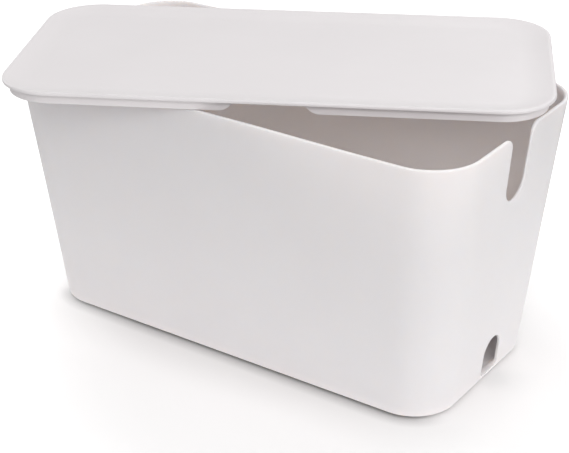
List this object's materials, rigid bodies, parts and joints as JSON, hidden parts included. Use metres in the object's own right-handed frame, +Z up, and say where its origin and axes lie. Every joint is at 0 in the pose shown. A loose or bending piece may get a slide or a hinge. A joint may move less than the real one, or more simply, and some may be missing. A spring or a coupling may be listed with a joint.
{
  "type": "cable management box",
  "caption": "Drafted plastic box that hides a power strip and its cables, with a cable slot and a cable arch in each end wall and a dished lift-off lid lying turned across the rim.",
  "frame": {"origin": "under the middle of the lid, on the surface that the feet stand on; the lid lies turned, so the tub's own middle is 10.8 mm to the right and 17.2 mm in front of it", "axes": "+X along the tub towards the end wall seen at the right, +Y towards the rear, +Z up"},
  "size_m": [0.4926, 0.395, 0.2533],
  "materials": {
    "tub_plastic": "fine moulded satin",
    "lid_plastic": "fine moulded satin",
    "foot_rubber": "soft matte"
  },
  "bodies": {
    "tub": {"tub": "tub_plastic", "foot_front_left": "foot_rubber", "foot_front_right": "foot_rubber", "foot_rear_left": "foot_rubber", "foot_rear_right": "foot_rubber"},
    "lid": {"lid": "lid_plastic"}
  },
  "joints": [
    {"name": "lid_lift", "type": "slide", "parent": "tub", "child": "lid", "axis": [0, 0, 1], "range_m": [0, 0.15]}
  ]
}
